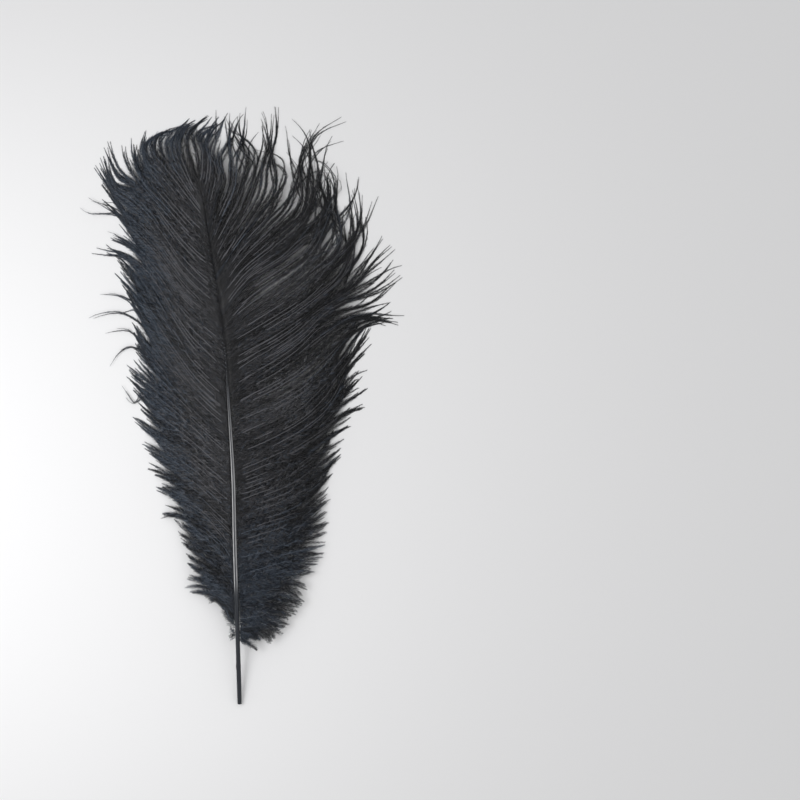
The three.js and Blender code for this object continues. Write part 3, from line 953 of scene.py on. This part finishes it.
    def curled(self, lines: Array) -> Array:
        """Turns the outer part of each barb, with its lock, with its pair or triple and a little by itself.

        Args:
            lines: The lines: barb, sample, x y z.

        Returns:
            The curled lines.
        """
        of_lock, of_pair = self.curl_shares
        shared = self.off_middle(self.locks) * of_lock + self.off_middle(self.pairs) * of_pair
        chance, far, little = self.loose
        loose = np.where(self.rng.uniform(0, 1, self.count) < chance, far, little)
        own = loose * self.rng.normal(0, 1, self.count)
        turn = habit("curl", self.places) + habit("curl_spread", self.places) * (shared + own)
        outer = np.clip((self.shares[None, 1:] - self.curls_from) / (1 - self.curls_from), 0, 1)
        angle = np.radians(turn)[:, None] * outer**self.curl_power
        steps = np.diff(lines, axis=1)
        x = steps[..., 0] * np.cos(angle) - steps[..., 1] * np.sin(angle)
        y = steps[..., 0] * np.sin(angle) + steps[..., 1] * np.cos(angle)
        turned = np.stack([x, y, steps[..., 2]], axis=-1)
        return np.concatenate([lines[:, :1], lines[:, :1] + np.cumsum(turned, axis=1)], axis=1)

    def add(self, line: Array, place: float, fine: float, shade: float) -> None:
        """Adds one more barb.

        Args:
            line: Its points.
            place: Its place, counted in leading barbs.
            fine: The length of its barbules, as a share of what is usual at its place.
            shade: How much paler than usual it is made, which carries painted light and shade.
        """
        self.lines = np.concatenate([self.lines, line[None]])
        self.places = np.append(self.places, place)
        self.locks = np.append(self.locks, self.locks.max() + 1)
        self.fine = np.append(self.fine, fine)
        self.shade = np.append(self.shade, shade)

    def add_under_layer(self) -> None:
        """Adds shorter barbs under the others, so that little of the sheet shows between those, darker with
        painted shade.
        """
        for place in self.spread_places(self.under_count):
            reach = np.interp(place, *UNDER_REACH) * self.rng.uniform(*UNDER_LENGTHS)
            line = self.guides.at(np.full(self.samples, place), self.shares * reach)
            line[:, 2] -= UNDER_DEPTH * smoothstep(*UNDER_SINKS, self.shares)
            self.add(line, place, UNDER_FINE, UNDER_SHADE)

    def add_strays(self) -> None:
        """Adds the curled barbs that stand out past the vane, each with finer ones beside it."""
        for place, share, *way in STRAYS:
            for companion in range(STRAY_BARBS):
                own_place = place + companion * self.rng.normal(0, STRAY_START_DRAW)
                held = np.linspace(0, share, STRAY_HELD_POINTS)
                start = self.guides.at(np.full(STRAY_HELD_POINTS, own_place), held)
                shift = companion * self.rng.normal(0, STRAY_APART, 3) * STRAY_APART_WAY
                shortened = companion == STRAY_BARBS - 1 and len(way) > 3
                kept = way[:-1] if shortened else way
                end = []
                for k, (x, y, z) in enumerate(kept):
                    end.append(np.array((x + QUILL_X, y, z)) + shift * (k + 1) / 2)
                line = smooth_path(list(start) + end, self.samples * 3)
                shorter = 1 - STRAY_SHORTER * companion * self.rng.uniform(*STRAY_SHORTER_DRAW)
                line = smooth_path(list(line[:int(len(line) * shorter):3]), self.samples)
                self.add(line, own_place, STRAY_FINE, STRAY_SHADE)

    def add_down(self) -> None:
        """Adds the short curly down at the base of the vane, most of it on the right of the quill."""
        right, left = DOWN_SIDES
        for k in range(DOWN_BARBS):
            side = right if k % DOWN_LEFT_EVERY else left
            root = self.guides.line.at(np.array(self.rng.uniform(*DOWN_Y)))
            reach = self.rng.uniform(*side.reach)
            rise = self.rng.uniform(*side.rise)
            bend = self.rng.uniform(*DOWN_BEND)
            way = [root]
            for part in DOWN_STEPS:
                turn = rise + bend * part
                out = np.array((side.toward * math.cos(turn), math.sin(turn), -DOWN_FALL * part))
                way.append(root + out * reach * part)
            self.add(smooth_path(way, self.samples), side.place, DOWN_FINE, 0.0)


@dataclass
class Ribs:
    """The ribs of the barbs, as thin three-sided tubes."""

    barbs: Barbs
    tip_radius: float = 0.05  # mm
    corners: tuple = (90, 210, 330)  # of a tube, in degrees from level

    def build(self, name: str, chosen: Array, tones: Array, materials: list) -> bpy.types.Object:
        """Makes the ribs of some of the barbs.

        Args:
            name: The piece's name.
            chosen: The numbers of the barbs.
            tones: The number of the material on every stretch of every barb.
            materials: The materials that the tones count through.

        Returns:
            The piece.
        """
        lines = self.barbs.lines[chosen]
        _, side, up = directions(lines)
        count, samples = lines.shape[:2]
        sides = len(self.corners)
        thick = habit("rib", self.barbs.places[chosen])[:, None]
        radius = (thick + (self.tip_radius - thick) * self.barbs.shares)[:, :, None, None]
        turn = np.radians(self.corners)[:, None]
        ring = np.cos(turn) * side[:, :, None, :] + np.sin(turn) * up[:, :, None, :]
        points = (lines[:, :, None, :] + radius * ring).reshape(-1, 3)
        quads = tube_quads(count, samples, sides)[..., [0, 3, 2, 1]]
        first = np.arange(count) * samples * sides
        last = first + (samples - 1) * sides
        caps = np.stack([first + 2, first + 1, first, last, last + 1, last + 2], axis=-1)
        loops = np.concatenate([quads.ravel(), caps.ravel()])
        sizes = np.repeat([4, 3], [quads.size // 4, 2 * count])
        of_sides = np.repeat(tones[chosen].ravel(), sides)
        per_face = np.concatenate([of_sides, np.repeat(tones[chosen, 0], 2)])
        return MeshParts(points, loops, sizes, per_face).build(name, materials, True)


@dataclass
class Barbules:
    """The two rows of barbules on every barb, as thin bent strips that narrow to a point."""

    barbs: Barbs
    spacing: float = 0.52  # along each side of a barb, mm: coarser than real, so that they show
    fewest: int = 4  # least number on a barb
    tuft: int = 4  # neighbours that mat together and share their dye and lie
    width: float = 0.24  # of a strip at its root, mm
    waist: float = 0.8  # width at the bend, as a share of that
    clearance: float = 0.12  # least height above the sheet, mm
    lengths: tuple = (0.7, 1.15)  # least and most, as shares of what is usual
    tapers_from: float = 0.7  # share of the barb from which the habit's taper sets in
    blunt: tuple = (0.88, 0.6)  # share from which the barb's point forms, and how much it shortens them
    root_length: tuple = (0.06, 0.45)  # share over which they grow to full length, and their least
    spread_along: tuple = (1.3, 0.5)  # how wide at the shaft, and how much less at the tip
    spread_draw: tuple = (0.8, 1.15, 0.18)  # least, most, and how much tufts differ
    droop: tuple = (30, 12, 18)  # degrees: mean, less for a raised tuft, most either way
    bend: tuple = (0.45, 0.2, 0.22)  # of the outer half: along the barb, down, and any way
    roll: float = 1.1  # most that a strip is rolled out of level, radians
    shaft_shows_to_y: float = 30.0  # how far up they leave the shaft uncovered
    shaft_hides_from_y: float = 5.0  # where they begin to cover it
    beside: float = 0.25  # how far beside the shaft they stay, mm
    covered: float = 0.75  # share of the shaft that they cover in the end
    depth_draws: tuple = (0.18, 0.16, 0.2)  # how much dye differs between barbs, locks and tufts
    painted_shade_right: float = 0.52  # painted shade: how much darker it is outside on the right, away from the light
    deep_tip: float = 0.1  # how much darker it is at the tips
    deep_right_high: float = 0.14  # how much darker it is high up on the right
    deep_left_low: float = 0.34  # how much darker it is low down on the left
    painted_light_left: float = 0.14  # painted light: how much paler it is all over the left, which faces the light
    pale_right_low: float = 0.22  # how much paler it is low down on the right

    def tones(self, barb: Array, share: Array, root_y: Array, mat: Array) -> Array:
        """Chooses the dye of each barbule, with painted light and shade laid into it.

        Args:
            barb: The number of its barb.
            share: How far along the barb it grows.
            root_y: The y of its root.
            mat: The draw that its tuft shares.

        Returns:
            The number of the dye.
        """
        rng = self.barbs.rng
        left = 1 - smoothstep(*RIGHT_FROM_PLACE, self.barbs.places[barb])
        right = 1 - left
        blue = rng.uniform(0, 1, len(barb)) < blue_chance(BARBULE_COOL, left, share, root_y)
        of_barb, of_lock, of_tuft = self.depth_draws
        barb_depth = rng.normal(0, 1, len(self.barbs.places))[barb]
        lock_depth = rng.normal(0, 1, self.barbs.locks.max() + 1)[self.barbs.locks][barb]
        depth = 0.5 + of_barb * barb_depth + of_lock * lock_depth + of_tuft * mat + self.barbs.shade[barb]
        low_down = 1 - smoothstep(*LOW_DOWN_Y, root_y)
        # Painted shade outside on the right, away from the light.
        depth = depth - self.painted_shade_right * right * smoothstep(*RIGHT_OUTSIDE, share)
        depth = depth - self.deep_tip * smoothstep(*AT_TIP, share)
        # Painted light all over the left, which faces the light.
        depth = depth + left * (self.painted_light_left - self.deep_left_low * low_down)
        depth = depth + self.pale_right_low * right * low_down
        depth = depth - self.deep_right_high * right * smoothstep(*HIGH_UP_Y, root_y)
        level = np.clip(np.floor(depth * BARBULE_DEPTHS).astype(int), 0, BARBULE_DEPTHS - 1)
        return level + BARBULE_DEPTHS * blue

    def sized(self, barb: Array, share: Array) -> Array:
        """Draws the length of each barbule.

        Args:
            barb: The number of its barb.
            share: How far along the barb it grows.

        Returns:
            The lengths in millimetres.
        """
        place = self.barbs.places[barb]
        drawn = self.barbs.rng.uniform(*self.lengths, len(barb))
        length = habit("barbule", place) * self.barbs.fine[barb] * drawn
        length = length * (1 - habit("taper", place) * smoothstep(self.tapers_from, 1, share))
        starts, shorter = self.blunt
        full, least = self.root_length
        grown = least + (1 - least) * smoothstep(0, full, share)
        return length * (1 - shorter * smoothstep(starts, 1, share)) * grown

    def build(self, name: str, chosen: Array, materials: list) -> bpy.types.Object:
        """Makes the barbules of some of the barbs.

        Args:
            name: The piece's name.
            chosen: The numbers of the barbs.
            materials: The dyes.

        Returns:
            The piece.
        """
        rng = self.barbs.rng
        lines = self.barbs.lines
        reach = np.linalg.norm(np.diff(lines[chosen], axis=1), axis=2).sum(axis=1)
        sparser = np.maximum(self.barbs.fine[chosen], 1)
        counts = np.maximum((reach / self.spacing / sparser * 2).astype(int), self.fewest)
        barb = np.repeat(chosen, counts)
        before = np.repeat(np.cumsum(counts) - counts, counts)
        order = np.arange(counts.sum()) - before
        share = (order + rng.uniform(0, 1, len(order))) / np.repeat(counts, counts)
        where = share * (self.barbs.samples - 1)
        lower = np.minimum(where.astype(int), self.barbs.samples - 2)
        part = (where - lower)[:, None]
        root, *axes = (
            axis[barb, lower] * (1 - part) + axis[barb, lower + 1] * part
            for axis in (lines, *directions(lines))
        )
        along, side, up = (normalised(axis) for axis in axes)
        tufts = order // (2 * self.tuft) * 2 + order % 2 + before
        mat = rng.normal(0, 1, tufts.max() + 1)[tufts]
        length = self.sized(barb, share)
        widest, narrower = self.spread_along
        least, most, of_tuft = self.spread_draw
        spread = np.radians(habit("spread", self.barbs.places[barb])) * (widest - narrower * share)
        spread = spread * rng.uniform(least, most, len(barb))
        spread = spread * (1 + of_tuft * rng.normal(0, 1, tufts.max() + 1)[tufts])
        mean, raised, either_way = self.droop
        droop = np.radians(mean - raised * mat + rng.uniform(-either_way, either_way, len(barb)))
        sign = np.where(order % 2, 1.0, -1.0)
        out = side * (sign * np.cos(droop))[:, None] - up * np.sin(droop)[:, None]
        first = np.cos(spread)[:, None] * along + np.sin(spread)[:, None] * out
        onward, down, any_way = self.bend
        second = normalised(first + onward * along - down * up + rng.normal(0, any_way, (len(barb), 3)))
        middle = root + first * (0.5 * length)[:, None]
        tip = middle + second * (0.5 * length)[:, None]
        middle[:, 2] = np.maximum(middle[:, 2], self.clearance)
        tip[:, 2] = np.maximum(tip[:, 2], self.clearance)
        kept = self.clear_of_shaft(root, middle, tip)
        barb, share, root, middle, tip, first, up, mat = (
            values[kept] for values in (barb, share, root, middle, tip, first, up, mat)
        )
        roll = rng.uniform(-self.roll, self.roll, len(barb))[:, None]
        level = normalised(np.cross(first, up))
        blade = np.cos(roll) * level + np.sin(roll) * np.cross(level, first)
        half = blade * (self.width / 2)
        waist = half * self.waist
        points = np.stack([root - half, root + half, middle + waist, middle - waist, tip], axis=1)
        points[..., 2] = np.maximum(points[..., 2], self.clearance / 2)
        base = (np.arange(len(barb)) * 5)[:, None]
        loops = (base + np.array([0, 1, 2, 3, 3, 2, 4])).ravel()
        sizes = np.tile([4, 3], len(barb))
        tones = np.repeat(self.tones(barb, share, root[:, 1], mat), 2)
        return MeshParts(points.reshape(-1, 3), loops, sizes, tones).build(name, materials, False)

    def clear_of_shaft(self, root: Array, middle: Array, tip: Array) -> Array:
        """Finds the barbules that neither start inside the shaft nor cover the painted highlight on its
        ribs.

        Args:
            root: Their roots.
            middle: The points where they bend.
            tip: Their tips.

        Returns:
            Whether each one is kept.
        """
        line = self.barbs.guides.line
        kept = np.ones(len(root), bool)
        for points, shows_to in zip((root, middle, tip), (math.inf, *[self.shaft_shows_to_y] * 2)):
            x, y, _ = points.T
            hidden = smoothstep(self.shaft_hides_from_y, self.shaft_shows_to_y, y)
            reach = (line.half_width(y) + self.beside) * (1 - self.covered * hidden)
            over = np.abs(x - line.at(y)[:, 0]) < reach
            kept &= ~(over & (y < shows_to) & (y < SHAFT[-1][1]))
        return kept


@dataclass
class Vane:
    """All barbs with their barbules, in the pieces of Part."""

    barbs: Barbs
    highlight_chances: tuple = (0.9, 0.7)  # of each of two patches of pale painted highlight on a rib
    patch_middle: tuple = (0.1, 0.85)  # shares of the barb between which a patch lies
    patch_reach: tuple = (0.04, 0.24)  # least and most half length, as shares
    dull_share: float = 0.4  # of that half length on ribs that lead no pair
    highlight_low: float = 0.4  # share of the chance that is left low down
    blue_draws: tuple = (0.4, 0.6)  # how much of the dye's cast goes by the lock, and by the barb
    dark_root: float = 0.07  # share at the root that never gets the painted highlight

    def rib_tones(self) -> Array:
        """Chooses the dye of every rib: blue-black more often low down and outside, with a pale painted
        highlight in patches.

        Returns:
            The number of the dye: barb, stretch between two samples.
        """
        rng = self.barbs.rng
        share = np.linspace(0, 1, self.barbs.samples - 1)[None, :]
        root_y = self.barbs.lines[:, :1, 1]
        left = 1 - smoothstep(*RIGHT_FROM_PLACE, self.barbs.places)[:, None]
        count = len(root_y)
        by_lock, by_barb = self.blue_draws
        lock_draw = rng.uniform(0, 1, self.barbs.locks.max() + 1)[self.barbs.locks]
        draw = by_lock * lock_draw + by_barb * rng.uniform(0, 1, count)
        blue = draw[:, None] < blue_chance(RIB_COOL, left, share, root_y)
        # The pale patches are painted highlight: longer on the leading ribs, and rarer low down.
        painted_highlight = np.zeros((count, self.barbs.samples - 1), bool)
        shrunk = np.where(self.barbs.shade[:, None] > 0, 1, self.dull_share)
        for chance in self.highlight_chances:
            middle = rng.uniform(*self.patch_middle, (count, 1))
            reach = rng.uniform(*self.patch_reach, (count, 1)) * shrunk
            bright = chance * (self.highlight_low + (1 - self.highlight_low) * smoothstep(*RIBS_SHINE_Y, root_y))
            painted_highlight |= (np.abs(share - middle) < reach) & (rng.uniform(0, 1, (count, 1)) < bright)
        painted_highlight &= share > self.dark_root
        return painted_highlight + RIB_DEPTHS * blue

    def build(self) -> list:
        """Makes the meshes.

        Returns:
            The pieces of barbules and of ribs.
        """
        dyes = [dye.build() for dye in BARBULE_DYES]
        rib_dyes = [dye.build() for dye in RIB_DYES]
        tones = self.rib_tones()
        barbules = Barbules(self.barbs)
        ribs = Ribs(self.barbs)
        pieces = []
        for part in Part:
            low, high = part.value
            chosen = np.flatnonzero((self.barbs.places >= low) & (self.barbs.places < high))
            name = part.name.lower()
            pieces.append(barbules.build(f"barbules_{name}", chosen, dyes))
            pieces.append(ribs.build(f"barb_ribs_{name}", chosen, tones, rib_dyes))
        return pieces


@dataclass(frozen=True)
class SoftLight:
    """A square soft box."""

    name: str
    place: tuple  # m
    aim: tuple  # the point that it faces, m
    side: float  # m
    power: float  # watts
    opening: float  # of its beam, degrees

    def build(self) -> None:
        """Hangs the light and turns it to its aim."""
        light = bpy.data.lights.new(self.name, "AREA")
        light.shape = "SQUARE"
        light.size = self.side
        light.energy = self.power
        light.spread = math.radians(self.opening)
        lamp = bpy.data.objects.new(self.name, light)
        lamp.location = self.place
        way = Vector(self.aim) - Vector(self.place)
        lamp.rotation_euler = way.to_track_quat("-Z", "Y").to_euler()
        bpy.context.scene.collection.objects.link(lamp)


@dataclass
class Studio:
    """The sheet of paper, the light and the camera that looks straight down on it."""

    sheet_side: float = 6.0  # m
    sky: float = 0.64  # strength of the even light from all round
    lens: float = 200.0  # mm
    sensor: float = 36.0  # width, mm
    focus_height: float = 0.012  # above the sheet, where a pixel spans its millimetres, m
    lights: tuple = (
        SoftLight("soft_box_left", (-0.5, -0.05, 0.6), (-0.2, -0.05, 0.0), 0.4, 0.53, 72),
        SoftLight("soft_box_above", (-0.1, 0.25, 1.6), (0.0, 0.0, 0.0), 0.4, 0.6, 180),
    )

    def build(self) -> None:
        """Sets up sheet, lights and camera."""
        self.lay_sheet()
        self.light_room()
        for light in self.lights:
            light.build()
        self.place_camera()

    def lay_sheet(self) -> None:
        """Lays the paper under the plume."""
        corners = np.array([(-1, -1, 0), (1, -1, 0), (1, 1, 0), (-1, 1, 0)]) * (self.sheet_side / 2 / MM)
        parts = MeshParts(corners, np.arange(4), np.array([4]), np.array([0]))
        parts.build("paper_sheet", [PAPER.build()], False)

    def light_room(self) -> None:
        """Fills the room with even white light."""
        world = bpy.data.worlds.new("white_room")
        world.use_nodes = True
        tree = world.node_tree
        tree.nodes.clear()
        settings = {"Color": linear("ffffff"), "Strength": self.sky}
        background = add_node(tree, "ShaderNodeBackground", settings, {})
        add_node(tree, "ShaderNodeOutputWorld", {}, {"Surface": background.outputs["Background"]})
        bpy.context.scene.world = world
        bpy.context.scene.view_settings.view_transform = "Standard"

    def place_camera(self) -> None:
        """Hangs the camera where the whole frame of the photograph fits."""
        frame_width = PHOTO_SIDE_PX * MM_PER_PX * MM
        middle = PHOTO_SIDE_PX / 2
        x = ((middle - TABLE_ZERO_PX[0]) * MM_PER_PX + QUILL_X) * MM
        y = (TABLE_ZERO_PX[1] - middle) * MM_PER_PX * MM
        camera = bpy.data.cameras.new("camera")
        camera.lens = self.lens
        camera.sensor_width = self.sensor
        holder = bpy.data.objects.new("camera", camera)
        holder.location = (x, y, self.focus_height + frame_width / self.sensor * self.lens)
        bpy.context.scene.collection.objects.link(holder)
        bpy.context.scene.camera = holder


def main() -> None:
    """Builds the plume and its studio."""
    logging.basicConfig(level=logging.INFO, format="%(name)s: %(message)s")
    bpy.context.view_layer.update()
    line = ShaftLine()
    shaft = Shaft(line).build(DyedHorn().build())
    place_piece(shaft, "quill")
    vane = Vane(Barbs(Guides(line)))
    for piece in vane.build():
        place_piece(piece, "barbs")
    Studio().build()


if __name__ == "__main__":
    main()
